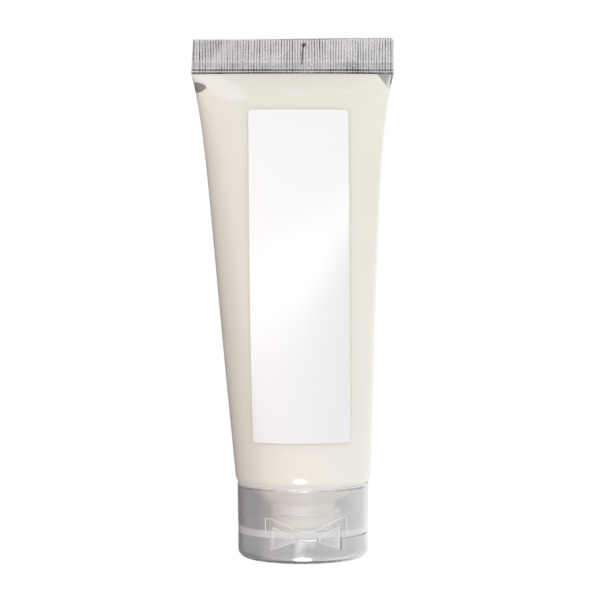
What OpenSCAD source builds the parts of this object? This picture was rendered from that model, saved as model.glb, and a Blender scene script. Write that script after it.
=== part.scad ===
// Travel squeeze tube, standing on its closed flip-top cap as it stands on a shelf.
// The sleeve is extruded film, pressed flat and sealed across its tail. Its other end is welded to a
// moulded head, and the cap screws onto the head's neck. +Z runs up to the seal, and the label and the
// lid's hinge face -Y. Millimetres.

/* [Sleeve] */
// Outer diameter of the round sleeve
sleeve_d = 35; // [32:0.5:40]
// Wall of the sleeve
sleeve_wall = 0.5; // [0.4:0.05:0.7]
// Radius of the sleeve's turned-in lower edge
sleeve_corner_r = 4; // [3:0.25:5]
// Length from the turned-in edge up to the seal
sleeve_l = 103.5; // [80:0.5:130]
// Share of the flat width that the seal's ribs take up
seal_shrink = 0.043; // [0.02:0.001:0.07]
// Share of the widening that comes only near the seal
tail_flare = 0.25; // [0.1:0.05:0.4]
// How far the tail leans to the left
tail_lean = 2.7; // [0:0.1:4]

/* [Seal] */
// Height of the pressed seal, above its bead
seal_h = 8; // [6:0.5:10]
// Thickness of the seal, which is two sleeve walls pressed together
seal_t = 0.9; // [0.7:0.05:1.2]
// Height of the bead squeezed out under the seal
bead_h = 0.9; // [0.5:0.1:1.5]
// Thickness of the bead
bead_t = 1.3; // [1.2:0.1:1.6]
// Distance from rib to rib
rib_pitch = 1.42; // [1.2:0.02:2]
// Depth of the ribs' wave
rib_wave = 0.22; // [0.1:0.02:0.35]
// Height of the lower row of ribs
short_rib_h = 1.7; // [1:0.1:2.5]
// Height of the plain strips under, between and above the rows
seal_strip = 0.35; // [0.2:0.05:0.5]
// Radius of the tail's right-hand corner
tail_corner_r = 1.2; // [0.5:0.1:2]

/* [Label] */
// Width of the label, along the sleeve's surface
label_w = 26.4; // [20:0.2:30]
// Height of the label's lower edge above the sleeve's turned-in edge
label_lift = 8.7; // [5:0.1:12]
// Height of bare sleeve from the label's upper edge to the seal's bead
label_drop = 10; // [8:0.1:30]
// Place of the label's lower edge, to the left of the cap's axis
label_x = 0.3; // [0:0.1:1]
// How far the label leans to the left over its height
label_lean = 0.65; // [0:0.05:2]
// Thickness of the label
label_t = 0.12; // [0.08:0.01:0.2]
// Radius of the label's corners
label_corner_r = 0.9; // [0.5:0.1:3]

/* [Air pockets] */
// Height of the empty corner at the right, below the seal's bead
air_right_h = 4.1; // [0:0.1:8]
// Place of the cream's edge at the foot of the empty corner, right of the cap's axis
air_right_x = 22.4; // [20:0.1:24]
// How fast the empty corner widens upwards
air_slope = 0.7; // [0:0.05:1.2]
// Depth of the left bubble's centre below the seal's bead
bubble_drop = 3.6; // [2:0.1:6]
// Half height of the bubble
bubble_r = 1.5; // [0.5:0.1:2.5]
// Reach of the bubble in from the edge
bubble_w = 3.1; // [0:0.1:5]

/* [Head] */
// Outer diameter of the neck
neck_d = 16.4; // [14:0.2:18]
// Wall of the neck
neck_wall = 1.2; // [0.9:0.1:1.6]
// Length of the neck
neck_l = 5.8; // [5.4:0.1:8]
// Slope of the shoulder
shoulder_angle = 30; // [20:1:40]
// Thickness of the shoulder
shoulder_t = 1.4; // [1:0.1:2]
// Diameter of the outlet in the neck's end wall
outlet_d = 6; // [5:0.2:8]
// Thickness of the neck's end wall
outlet_t = 1; // [0.8:0.1:1.5]

/* [Cap] */
// How far the cap's wall stands in from the sleeve's, at the line where the lid meets the base
cap_step = 0.75; // [0.5:0.05:1]
// Height from the rim up to the end of the sleeve's turned-in edge
rim_drop = 2.63; // [2.5:0.01:3.5]
// Widening of the base's skirt from the lid up to the rim
cap_draft = 0.2; // [0:0.05:0.3]
// Wall of the base's skirt
skirt_wall = 1.1; // [0.9:0.05:1.3]
// Thickness of the base's deck
deck_t = 1.8; // [1.5:0.1:2.2]
// Wall of the threaded collar round the neck
collar_wall = 1; // [0.8:0.1:1.4]
// Height of the collar above the deck
collar_h = 5; // [3.5:0.1:5.2]
// Diameter of the cap's bore, through which the cream comes out
bore_d = 4.6; // [4:0.1:5.4]
// Diameter of the spout at the deck
spout_root_d = 8.2; // [7:0.1:10]
// Diameter of the spout's tip
spout_tip_d = 6.4; // [5.5:0.1:7]
// How far the spout stands out from the deck
spout_l = 3.9; // [3:0.1:4.5]
// Radius of the scoop that bares the lid's edge for a thumb
thumb_r = 8; // [6:0.5:10]
// Depth of the thumb scoop
thumb_depth = 0.6; // [0.3:0.05:0.7]
// How far the cap is turned from the label's centre
cap_turn = 3.3; // [-10:0.1:10]

/* [Lid] */
// Height of the lid
lid_h = 6.35; // [6:0.05:7]
// Wall of the lid
lid_wall = 0.9; // [0.8:0.05:1.2]
// Thickness of the lid's face
lid_face_t = 1; // [0.8:0.1:1.4]
// Radius of the lid's outer edge
lid_edge_r = 2.1; // [1.6:0.1:2.6]
// How far the tip of the plug that closes the bore draws in, so that it swings clear
plug_taper = 0.42; // [0.4:0.02:0.6]
// Depth of the plug in the bore
plug_l = 1.8; // [1:0.1:1.8]

/* [Hinge] */
// Distance of each wing's inner end from the hinge's centre
wing_in = 3; // [2.5:0.1:4]
// Distance of each wing's outer end from the hinge's centre
wing_out = 8.5; // [7.5:0.1:9]
// Height of a wing's inner end
wing_in_h = 1; // [0.8:0.1:1.6]
// Height of a wing's outer end
wing_out_h = 5.3; // [4.5:0.1:5.6]
// Thickness of a wing
wing_t = 0.5; // [0.4:0.05:0.6]
// Half width of the recess round the hinge
recess_w = 10.2; // [9.8:0.1:11]
// Depth of the recess
recess_t = 0.35; // [0.2:0.05:0.45]
// Height of the recess at its ends
recess_h = 5.15; // [4.6:0.05:6]
// Height of the recess at the middle
recess_mid_h = 1.9; // [1.4:0.1:2.4]
// Length of the film hinge in the middle
film_l = 5; // [3:0.2:5.4]
// Radius of the film hinge's bead
film_r = 0.3; // [0.2:0.05:0.4]

/* [Clearances] */
// Gap between the lid and the base
lid_gap = 0.15; // [0.1:0.05:0.3]
// Gap between the plug and its bore
plug_gap = 0.08; // [0.06:0.01:0.12]
// Gap between the neck's end and the deck
seat_gap = 0.1; // [0.05:0.05:0.3]
// Gap between the rim and the sleeve's turned-in edge
rim_gap = 0.25; // [0.2:0.05:0.4]
// Gap between the neck and the collar, which their threads fill
thread_gap = 0.45; // [0.3:0.05:0.6]
// Gap between the sleeve and the welded edge of the head
weld_gap = 0.06; // [0.05:0.01:0.1]
// Gap between the cream and what holds it
cream_gap = 0.05; // [0.04:0.01:0.1]
// Gap between the label and the sleeve
label_gap = 0.07; // [0.05:0.01:0.1]
// Gap round each wing, where the film hinges bend
wing_gap = 0.35; // [0.3:0.05:0.5]

/* [Hidden] */
$fn = 128;

// Radii of the main rounds
sleeve_r = sleeve_d / 2;
neck_r = neck_d / 2;
cap_r = sleeve_r - cap_step;
bore_r = bore_d / 2;
plug_r = bore_r - plug_gap;
film_clear_r = film_r + lid_gap;
// How far a shape that cuts another stands out of it
over = 1;

// Levels from the lid's face up to the tail
parting_z = lid_h;
base_z = parting_z + lid_gap / 2;
lid_top_z = parting_z - lid_gap / 2;
deck_z = parting_z + deck_t;
spout_z = base_z - spout_l;
neck_end_z = deck_z + seat_gap;
neck_root_z = neck_end_z + neck_l;
corner_x = sleeve_r - sleeve_corner_r;
corner_z = neck_root_z + (corner_x - neck_r) * tan(shoulder_angle) + sleeve_corner_r / cos(shoulder_angle);
cap_h = corner_z - rim_drop;
bead_z = corner_z + sleeve_l;
seal_z = bead_z + bead_h;
tail_z = seal_z + seal_h;
label_h = sleeve_l - label_lift - label_drop;

// Half width of the flat tail, whose ribs draw it in a little
tail_half = PI * sleeve_d / 4 * (1 - seal_shrink);

// Sides of each section and sections of the sleeve, closer together near the seal
sides = 56;
sections = 26;
corner_steps = 4;
flare_power = 9;
shrink_power = 3;
lean_power = 1.4;
section_power = 1.8;
// Steps in which half a section's depth is found
depth_steps = 16;
// Least half depth of a section inside the sleeve
slack_min = 0.2;
// How far the bead reaches down into the sleeve's end
bead_root = 0.2;
// Height over which the head's edge thins out inside the sleeve
shoulder_fade = 2.5;
// The last section inside the sleeve, below the bead
cavity_end = sections - 1;
function section_t(k) = 1 - pow(1 - k / sections, section_power);

// Points of the label: steps along an arc to its edge, columns, rows and steps of a corner
label_steps = 16;
label_cols = 14;
label_rows = 16;
label_corner_steps = 4;

// Points along the curved edge of the hinge's recess
recess_steps = 24;

// Ends, length, turn and taper of a wing, seen from above
wing_mid_r = cap_r - recess_t - wing_t / 2;
wing_inner = [wing_in, -sqrt(pow(wing_mid_r, 2) - pow(wing_in, 2))];
wing_outer = [wing_out, -sqrt(pow(wing_mid_r, 2) - pow(wing_out, 2))];
wing_l = norm(wing_outer - wing_inner);
wing_yaw = atan2(wing_outer[1] - wing_inner[1], wing_out - wing_in);
wing_slope = (wing_out_h - wing_in_h) / 2 / wing_l;

// Form of the sleeve at share t of its length: half width, girth, half depth and sideways place
function widening(t) = (1 - tail_flare) * t + tail_flare * pow(t, flare_power);
function half_w(t) = sleeve_r + (tail_half - sleeve_r) * widening(t);
function girth(t) = PI * sleeve_d * (1 - seal_shrink * pow(t, shrink_power));
function oval_girth(a, b) = PI * (3 * (a + b) - sqrt((3 * a + b) * (a + 3 * b)));
function solve_depth(a, g, low, high, steps) =
    let (mid = (low + high) / 2)
    steps == 0 ? mid
    : oval_girth(a, mid) > g ? solve_depth(a, g, low, mid, steps - 1)
    : solve_depth(a, g, mid, high, steps - 1);
function half_d(t) = solve_depth(half_w(t), girth(t), bead_t / 2, sleeve_r + over, depth_steps);
function lean_at(t) = -tail_lean * (1 - pow(1 - t, lean_power));
function level(t) = corner_z + t * sleeve_l;

// One closed section, counted round from +X, with its points drawn in by inset
function oval(a, b, x, z) =
    [for (k = [0 : sides - 1])
        let (angle = k * 360 / sides)
        [x + a * cos(angle), b * sin(angle), z]];
function sleeve_section(t, inset) =
    oval(half_w(t) - inset, max(half_d(t) - inset, slack_min), lean_at(t), level(t));
// Sections of the turned-in lower edge, from the shoulder's slope out to the upright wall
function corner_section(k, inset) =
    let (a = shoulder_angle + (90 - shoulder_angle) * k / corner_steps, r = sleeve_corner_r - inset)
    oval(corner_x + r * sin(a), corner_x + r * sin(a), 0, corner_z - r * cos(a));

// Closed skin through a chain of sections. Its end faces fan out from their middles, or, where the
// sections are bent strips, run across the strip.
module skin(rings, bent = false) {
    n = len(rings[0]);
    last = (len(rings) - 1) * n;
    middles = [for (ring = [rings[0], rings[len(rings) - 1]]) [for (p = ring) 1] * ring / n];
    points = concat([for (ring = rings) each ring], middles);
    walls = [for (j = [0 : n : last - n], i = [0 : n - 1])
        let (a = j + i, b = j + (i + 1) % n)
        each [[a, a + n, b + n], [a, b + n, b]]];
    fans = [for (i = [0 : n - 1])
        let (k = (i + 1) % n)
        each [[last + n, i, k], [last + n + 1, last + k, last + i]]];
    strips = [for (i = [0 : n / 2 - 2])
        let (j = n - 1 - i, p = last + i, q = last + j)
        each [[i, i + 1, j - 1], [i, j - 1, j], [p, q - 1, p + 1], [p, q, q - 1]]];
    polyhedron(points = points, faces = concat(walls, bent ? strips : fans), convexity = 8);
}

// Outline of a strip across the tail, as wide as the tail, that waves from rib to rib
module rib_outline() {
    ribs = floor(2 * tail_half / rib_pitch);
    step = tail_half / ribs;
    middle = [for (k = [0 : 2 * ribs]) [-tail_half + k * step, rib_wave / 2 * (k % 2 == 0 ? 1 : -1)]];
    front = [for (p = middle) p - [0, seal_t / 2]];
    back = [for (k = [2 * ribs : -1 : 0]) middle[k] + [0, seal_t / 2]];
    polygon(concat(front, back));
}

module strip(z, height, thickness) {
    translate([0, 0, z])
        linear_extrude(height = height)
            square([2 * tail_half, thickness], center = true);
}

module rib_row(z, height) {
    translate([0, 0, z])
        linear_extrude(height = height)
            rib_outline();
}

// The pressed tail: bead, plain strips and two rows of ribs, with one corner rounded
module seal() {
    short_z = seal_z + seal_strip;
    long_z = short_z + short_rib_h + seal_strip;
    translate([-tail_lean, 0, 0]) {
        strip(bead_z - bead_root, bead_h + bead_root, bead_t);
        strip(seal_z, seal_strip, seal_t);
        rib_row(short_z, short_rib_h);
        strip(short_z + short_rib_h, seal_strip, seal_t);
        rib_row(long_z, tail_z - seal_strip - long_z);
        strip(tail_z - seal_strip, seal_strip, seal_t);
    }
}

// What the rounded corner takes off the tail
module tail_corner() {
    translate([tail_half - tail_lean - tail_corner_r, seal_t, tail_z - tail_corner_r])
        rotate([90, 0, 0])
            linear_extrude(height = 2 * seal_t)
                difference() {
                    square(2 * tail_corner_r);
                    circle(tail_corner_r);
                }
}

module tube_sleeve() {
    inner = [for (k = [cavity_end : -1 : 0]) sleeve_section(section_t(k), sleeve_wall)];
    inner_corner = [for (k = [corner_steps - 1 : -1 : 0]) corner_section(k, sleeve_wall)];
    outer_corner = [for (k = [0 : corner_steps - 1]) corner_section(k, 0)];
    outer = [for (k = [0 : sections]) sleeve_section(section_t(k), 0)];
    color([0.9, 0.9, 0.88, 0.5]) {
        skin(concat(inner, inner_corner, outer_corner, outer));
        difference() {
            seal();
            tail_corner();
        }
    }
}

module tube_head() {
    weld_r = sleeve_corner_r - sleeve_wall - weld_gap;
    bore_x = neck_r - neck_wall;
    run = [cos(shoulder_angle), sin(shoulder_angle)];
    rise = [-sin(shoulder_angle), cos(shoulder_angle)];
    edge = [corner_x, corner_z] - sleeve_corner_r * rise - weld_gap * run;
    inner_low = neck_root_z - neck_wall * tan(shoulder_angle);
    color([0.93, 0.93, 0.91, 0.6])
        rotate_extrude() {
            // Neck and its end wall round the outlet
            translate([bore_x, neck_end_z])
                square([neck_wall, neck_l]);
            translate([outlet_d / 2, neck_end_z])
                square([neck_r - outlet_d / 2, outlet_t]);
            // Sloping shoulder
            polygon([
                [bore_x, inner_low + shoulder_t / cos(shoulder_angle)],
                [bore_x, neck_root_z],
                [neck_r, neck_root_z],
                edge,
                edge + shoulder_t * rise,
            ]);
            // Rounded edge, welded inside the sleeve's turned-in end
            translate([corner_x, corner_z])
                intersection() {
                    difference() {
                        circle(weld_r);
                        circle(weld_r - shoulder_t);
                    }
                    polygon([[0, 0], -2 * sleeve_corner_r * rise - shoulder_t * run, [2 * sleeve_corner_r, 0]]);
                }
        }
}

// Right and left faces of the cream at height z, inside half width a round centre x: an air pocket cuts
// the right upper corner, and a bubble lies in the left one
function cream_right(z) = air_right_x - air_slope * max(0, z - (bead_z - air_right_h));
function cream_left(z, edge) =
    let (s = (z - (bead_z - bubble_drop)) / bubble_r)
    abs(s) < 1 ? edge + bubble_w * sqrt(1 - s * s) : edge;

module cream() {
    inset = sleeve_wall + cream_gap;
    weld_inset = inset + weld_gap + shoulder_t;
    bore_x = neck_r - neck_wall - cream_gap;
    out_x = outlet_d / 2 - cream_gap;
    spill_x = bore_r - cream_gap;
    slope_in = (shoulder_t + cream_gap) / cos(shoulder_angle) - neck_wall * tan(shoulder_angle);
    column = [
        [spill_x, spout_z + plug_l + 2 * cream_gap],
        [spill_x, neck_end_z],
        [out_x, neck_end_z],
        [out_x, neck_end_z + outlet_t + cream_gap],
        [bore_x, neck_end_z + outlet_t + cream_gap],
        [bore_x, neck_root_z + slope_in],
    ];
    color([0.93, 0.91, 0.86])
        skin(concat(
            [for (p = column) oval(p[0], p[0], 0, p[1])],
            [for (k = [0 : corner_steps]) corner_section(k, weld_inset)],
            [for (k = [1 : cavity_end]) cream_section(section_t(k) - cream_gap / sleeve_l, inset)]
        ));
}

// One section of the cream, with its two air pockets taken off
function cream_section(t, inset) =
    let (z = level(t),
         ring = sleeve_section(t, inset + shoulder_t * max(0, 1 - t * sleeve_l / shoulder_fade)),
         left = cream_left(z, lean_at(t) - half_w(t)))
    [for (p = ring) [min(max(p[0], left), cream_right(z)), p[1], z]];

// Distance from the front's centre line to the point that lies at arc length s along an oval
function foot(s, a, b, x, steps) =
    steps == 0 ? x
    : let (slope = b * x / (a * a * sqrt(1 - x * x / (a * a))))
      foot(s, a, b, x + s / label_steps / sqrt(1 + slope * slope), steps - 1);

// A point on the label's face that stands off the sleeve by lift
function label_point(s, t, lift) =
    let (a = half_w(t), b = half_d(t), x = foot(s, a, b, 0, label_steps))
    [lean_at(t) + x * (a + lift) / a, -(b + lift) * sqrt(1 - x * x / (a * a)), level(t)];
function label_ring(t, half, centre) =
    concat(
        [for (k = [0 : label_cols])
            label_point(centre + half * (2 * k / label_cols - 1), t, label_gap + label_t)],
        [for (k = [label_cols : -1 : 0])
            label_point(centre + half * (2 * k / label_cols - 1), t, label_gap)]
    );

module label() {
    r = label_corner_r;
    // Heights of the rows and how far each is drawn in at its ends by the corners
    corner = [for (k = [0 : label_corner_steps])
        let (a = 90 * k / label_corner_steps)
        [r * (1 - cos(a)), r * (1 - sin(a))]];
    rows = concat(
        corner,
        [for (k = [1 : label_rows - 1]) [r + (label_h - 2 * r) * k / label_rows, 0]],
        [for (k = [label_corner_steps : -1 : 0]) [label_h - corner[k][0], corner[k][1]]]
    );
    color([0.96, 0.96, 0.96])
        skin([for (row = rows)
            let (t = (label_lift + row[0]) / sleeve_l,
                 centre = -label_x - label_lean * row[0] / label_h - lean_at(t))
            label_ring(t, label_w / 2 - row[1], centre)], bent = true);
}

// The hinge zone: what is drawn in the cap's own frame, with the hinge at its front, is turned with it
module turned_cap() {
    rotate([0, 0, cap_turn])
        children();
}

// Frame of one wing: its inner end at the origin, +X along it, its outer face towards -Y
module at_wing() {
    translate([wing_inner[0], wing_inner[1], parting_z])
        rotate([90, 0, wing_yaw])
            children();
}

// Front outline of a wing, grown by margin
module wing_outline(margin) {
    low = wing_in_h / 2 - wing_slope * margin + margin * sqrt(1 + pow(wing_slope, 2));
    high = wing_out_h / 2 + wing_slope * margin + margin * sqrt(1 + pow(wing_slope, 2));
    polygon([[-margin, -low], [wing_l + margin, -high], [wing_l + margin, high], [-margin, low]]);
}

// A plate with a rounded web of film along its two slanting edges, the upper one on the wing's joint
module wing() {
    at_wing() {
        translate([0, 0, -wing_t / 2])
            linear_extrude(height = wing_t)
                wing_outline(0);
        for (side = [-1, 1])
            translate([0, side * wing_in_h / 2, 0])
                rotate([0, 90, side * atan(wing_slope)])
                    cylinder(h = wing_l * sqrt(1 + pow(wing_slope, 2)), r = wing_t / 2);
    }
}

// What the wings need cut out of the base and the lid: a window behind, beside and in front of each
module wing_windows() {
    for (side = [0, 1])
        mirror([side, 0, 0])
            at_wing()
                translate([0, 0, -wing_t / 2 - wing_gap])
                    linear_extrude(height = wing_t + wing_gap + cap_r)
                        wing_outline(wing_gap);
}

// Thick wall behind the wings, as high as the recess or the windows need it
module wing_backing(low, high, outer_r) {
    back_r = wing_mid_r * cos((asin(wing_out / wing_mid_r) - asin(wing_in / wing_mid_r)) / 2)
        - wing_t / 2 - wing_gap - lid_wall;
    intersection() {
        translate([0, 0, low])
            difference() {
                cylinder(h = high - low, r = outer_r);
                translate([0, 0, -over])
                    cylinder(h = high - low + 2 * over, r = back_r);
            }
        translate([-recess_w, -cap_r - over, low])
            cube([2 * recess_w, cap_r + over, high - low]);
    }
}

// The shallow recess round the hinge, with its top edge in the form of a moustache
module hinge_recess() {
    edge = [for (k = [0 : recess_steps])
        let (x = recess_w * (2 * k / recess_steps - 1), s = abs(x) / recess_w)
        [x, recess_mid_h + (recess_h - recess_mid_h) * s * s * (3 - 2 * s)]];
    intersection() {
        translate([0, 0, parting_z])
            rotate([90, 0, 0])
                linear_extrude(height = 2 * cap_r)
                    polygon(concat([[recess_w, -recess_mid_h], [-recess_w, -recess_mid_h]], edge));
        difference() {
            cylinder(h = cap_h, r = cap_r + over);
            translate([0, 0, -over])
                cylinder(h = cap_h + 2 * over, r = cap_r - recess_t);
        }
    }
}

// Rounded bead of the film hinge, along the lid's axis
module film_bead(r, length) {
    translate([-length / 2, -cap_r, parting_z])
        rotate([0, 90, 0])
            cylinder(h = length, r = r);
}

module base_shell() {
    collar_in = neck_r + thread_gap;
    collar_out = collar_in + collar_wall;
    chamfer = lid_gap;
    rotate_extrude()
        difference() {
            polygon([
                [bore_r, spout_z],
                [spout_tip_d / 2, spout_z],
                [spout_root_d / 2, base_z],
                [cap_r - chamfer, base_z],
                [cap_r, base_z + chamfer],
                [cap_r + cap_draft, cap_h],
                [cap_r + cap_draft - skirt_wall, cap_h],
                [cap_r - skirt_wall, deck_z],
                [collar_out, deck_z],
                [collar_out, deck_z + collar_h],
                [collar_in, deck_z + collar_h],
                [collar_in, deck_z],
                [bore_r, deck_z],
            ]);
            // The rim is hollowed to the sleeve's turned-in edge
            translate([corner_x, corner_z])
                circle(sleeve_corner_r + rim_gap);
        }
}

module cap_base() {
    backing_top = parting_z + recess_h + lid_wall;
    color([0.82, 0.83, 0.84, 0.5])
        turned_cap()
            union() {
                difference() {
                    union() {
                        base_shell();
                        wing_backing(deck_z - lid_gap, backing_top, cap_r - skirt_wall / 2);
                    }
                    hinge_recess();
                    wing_windows();
                    // Scoop for a thumb under the lid's edge
                    translate([0, cap_r + thumb_r - thumb_depth, parting_z])
                        sphere(thumb_r);
                    film_bead(film_clear_r, film_l + 2 * lid_gap);
                }
                film_bead(film_r, film_l);
                // The film itself, from its bead into the deck
                translate([-film_l / 2, -cap_r, parting_z])
                    cube([film_l, 3 * film_r, film_r]);
            }
}

// Half section of a round cup, with a rounded lower edge
module cup_section(r, low, high, edge_r) {
    translate([0, low])
        square([r - edge_r, high - low]);
    translate([0, low + edge_r])
        square([r, high - low - edge_r]);
    translate([r - edge_r, low + edge_r])
        circle(edge_r);
}

module cap_lid() {
    inner_edge_r = lid_edge_r - lid_wall;
    backing_low = parting_z - wing_out_h / 2 - wing_gap - lid_wall;
    color([0.8, 0.81, 0.82, 0.5])
        turned_cap()
            difference() {
                union() {
                    rotate_extrude()
                        difference() {
                            intersection() {
                                cup_section(cap_r, 0, lid_top_z, lid_edge_r);
                                square([cap_r, lid_top_z]);
                            }
                            cup_section(cap_r - lid_wall, lid_face_t, lid_top_z + over, inner_edge_r);
                        }
                    wing_backing(backing_low, lid_top_z, cap_r - lid_wall / 2);
                    // Plug, with a tapered tip that swings clear of the bore
                    rotate_extrude()
                        polygon([
                            [0, lid_face_t / 2],
                            [plug_r, lid_face_t / 2],
                            [plug_r, spout_z + lid_gap],
                            [plug_r - plug_taper, spout_z + plug_l],
                            [0, spout_z + plug_l],
                        ]);
                }
                wing_windows();
                film_bead(film_clear_r, film_l + 2 * lid_gap);
            }
}

module hinge_wing_left() {
    color([0.9, 0.91, 0.92, 0.6])
        turned_cap()
            mirror([1, 0, 0])
                wing();
}

module hinge_wing_right() {
    color([0.9, 0.91, 0.92, 0.6])
        turned_cap()
            wing();
}

tube_sleeve();
tube_head();
cream();
label();
cap_base();
cap_lid();
hinge_wing_left();
hinge_wing_right();
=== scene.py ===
"""A travel squeeze tube of cream, standing on its clear flip-top cap with the crimped tail up."""

import math

import bmesh
import bpy
from mathutils import Matrix, Vector, noise


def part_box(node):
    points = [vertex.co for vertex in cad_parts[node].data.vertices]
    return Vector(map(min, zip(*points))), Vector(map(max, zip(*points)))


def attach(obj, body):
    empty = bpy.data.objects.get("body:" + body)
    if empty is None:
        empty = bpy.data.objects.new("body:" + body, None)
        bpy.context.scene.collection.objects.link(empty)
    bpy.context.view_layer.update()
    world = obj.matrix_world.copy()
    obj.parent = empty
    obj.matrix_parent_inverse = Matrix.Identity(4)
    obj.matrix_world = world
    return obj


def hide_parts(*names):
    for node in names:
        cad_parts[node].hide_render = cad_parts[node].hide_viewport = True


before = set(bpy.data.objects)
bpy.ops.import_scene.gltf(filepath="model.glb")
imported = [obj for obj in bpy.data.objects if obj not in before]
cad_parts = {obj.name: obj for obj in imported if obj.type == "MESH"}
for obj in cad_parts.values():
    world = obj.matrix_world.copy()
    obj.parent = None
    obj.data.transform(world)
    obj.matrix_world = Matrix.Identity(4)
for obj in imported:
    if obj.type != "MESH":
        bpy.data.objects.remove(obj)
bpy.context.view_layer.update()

# Photographer's table
# The tube stands on a white sheet over a glass table. A bright room lies to the front and the right of it,
# its left and back are grey, lamps hang in front, and two small ones shine up through the glass.
MM = 0.001
PHOTO_SIDE = 600
PIXEL = 0.2602 * MM
AXIS_X_PIXEL = 302.8
FOOT_Y_PIXEL = 555.2
CAMERA_DISTANCE = 1680 * PIXEL
SENSOR = 36.0

scene = bpy.context.scene
scene.view_settings.view_transform = "Standard"
scene.cycles.use_denoising = True
scene.cycles.max_bounces = 24
scene.cycles.transmission_bounces = 20
scene.cycles.transparent_max_bounces = 16
scene.cycles.sample_clamp_indirect = 8.0

# The camera looks straight ahead. Its distance gives the photo's slight perspective, and the photo's middle,
# the tube's axis and its foot, all in pixels, give its place
camera_data = bpy.data.cameras.new("camera")
camera_data.sensor_width = SENSOR
camera_data.lens = SENSOR * CAMERA_DISTANCE / (PHOTO_SIDE * PIXEL)
camera_data.clip_start = 0.01
camera = bpy.data.objects.new("camera", camera_data)
camera.location = (
    (PHOTO_SIDE / 2 - AXIS_X_PIXEL) * PIXEL,
    -CAMERA_DISTANCE,
    (FOOT_Y_PIXEL - PHOTO_SIDE / 2) * PIXEL,
)
camera.rotation_euler = (math.radians(90), 0, 0)
scene.collection.objects.link(camera)
scene.camera = camera


def linear(hex_colour):
    """Linear red, green, blue and alpha of an sRGB hex colour."""
    parts = [int(hex_colour[k : k + 2], 16) / 255 for k in (1, 3, 5)]
    return [p / 12.92 if p <= 0.04045 else ((p + 0.055) / 1.055) ** 2.4 for p in parts] + [1.0]


def add(tree, kind, links=(), **settings):
    """Adds a node. links are (input, socket) pairs. A setting is one of the node's inputs or its own."""
    node = tree.nodes.new(kind)
    for name, value in settings.items():
        if hasattr(node, name):
            setattr(node, name, value)
        else:
            node.inputs[name.replace("_", " ")].default_value = value
    for name, socket in links:
        tree.links.new(socket, node.inputs[name])
    return node


def remap(tree, value, start, end, low, high, **settings):
    """Maps a value that goes from start to end onto low to high."""
    node = add(tree, "ShaderNodeMapRange", [("Value", value)], **settings)
    for name, number in (("From Min", start), ("From Max", end), ("To Min", low), ("To Max", high)):
        node.inputs[name].default_value = number
    return node.outputs["Result"]


def maths(tree, operation, first, second, **settings):
    """Works out one value from two, each of which is a socket or a number."""
    node = add(tree, "ShaderNodeMath", operation=operation, **settings)
    for k, value in enumerate((first, second)):
        if isinstance(value, float):
            node.inputs[k].default_value = value
        else:
            tree.links.new(value, node.inputs[k])
    return node.outputs[0]


def mix(tree, factor, first, second):
    """Mixes two colours, each of which is a socket or a hex colour."""
    node = add(tree, "ShaderNodeMix", [("Factor", factor)], data_type="RGBA")
    for k, colour in ((6, first), (7, second)):
        if isinstance(colour, str):
            node.inputs[k].default_value = linear(colour)
        else:
            tree.links.new(colour, node.inputs[k])
    return node.outputs[2]


def new_material(name):
    """A material with an empty node tree, and that tree."""
    material = bpy.data.materials.new(name)
    material.use_nodes = True
    material.node_tree.nodes.clear()
    return material, material.node_tree


def lamp(name, shape, place, across, up, power):
    """An area light with sides as long as the vectors across and up, seen from its bright side. It is
    turned so that one side lies along across. Only gloss shows it: the room gives the even light."""
    data = bpy.data.lights.new(name, "AREA")
    data.shape = shape
    data.size, data.size_y = across.length, up.length
    data.energy = power
    light = bpy.data.objects.new(name, data)
    x_axis = across.normalized()
    z_axis = x_axis.cross(up).normalized()
    turn = Matrix((x_axis, z_axis.cross(x_axis), z_axis)).transposed()
    light.matrix_world = Matrix.Translation(place) @ turn.to_4x4()
    light.visible_camera = False
    light.visible_diffuse = False
    light.visible_transmission = False
    scene.collection.objects.link(light)
    return light


# The sheet is seen by the camera alone, as bright as the backdrop, so that no edge of it shows
sheet, tree = new_material("white_backdrop_sheet")
glow = add(tree, "ShaderNodeEmission", Color=linear("#ffffff"), Strength=1.0)
add(tree, "ShaderNodeOutputMaterial", [("Surface", glow.outputs[0])])
SHEET_HALF = 3.0
mesh = bpy.data.meshes.new("table")
corners = [(-1, -1), (1, -1), (1, 1), (-1, 1)]
mesh.from_pydata([(x * SHEET_HALF, y * SHEET_HALF, -0.5 * MM) for x, y in corners], [], [(0, 1, 2, 3)])
mesh.materials.append(sheet)
table = bpy.data.objects.new("table", mesh)
table.visible_diffuse = table.visible_glossy = table.visible_transmission = table.visible_shadow = False
scene.collection.objects.link(table)

# The room is bright from its front left round to its right-hand back, brightest at its front left, and
# dark grey beyond. It is dimmer overhead and underfoot, and its left wall is pink. Clear plastic passes
# its light on a little dimmed. The camera sees plain white
BRIGHT_SIDE = (0.755, -0.656, 0.0)
FRONT_LEFT = (-0.5, -0.866, 0.0)
ROOM_GREY = 0.175
ROOM_BRIGHT = 1.11
FRONT_LEFT_FILL = 0.20
CEILING = 0.68
FLOOR = 0.3
GREY_TO_BRIGHT = (-0.75, -0.29)
FILL_FROM = 0.5
CEILING_FROM = 0.15
FLOOR_FROM = -0.65
PINK_FROM = -0.2
NO_LIMIT = 2.0
BRIGHTEST_THROUGH_PLASTIC = 0.80
world = bpy.data.worlds.new("room")
scene.world = world
world.use_nodes = True
tree = world.node_tree
tree.nodes.clear()
direction = add(tree, "ShaderNodeTexCoord").outputs["Generated"]
axes = add(tree, "ShaderNodeSeparateXYZ", [("Vector", direction)])
path = add(tree, "ShaderNodeLightPath")


def towards(side):
    """How nearly a direction in the room is that of side, from 1 down to -1 for the opposite."""
    node = add(tree, "ShaderNodeVectorMath", [(0, direction)], operation="DOT_PRODUCT")
    node.inputs[1].default_value = side
    return node.outputs["Value"]


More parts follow.
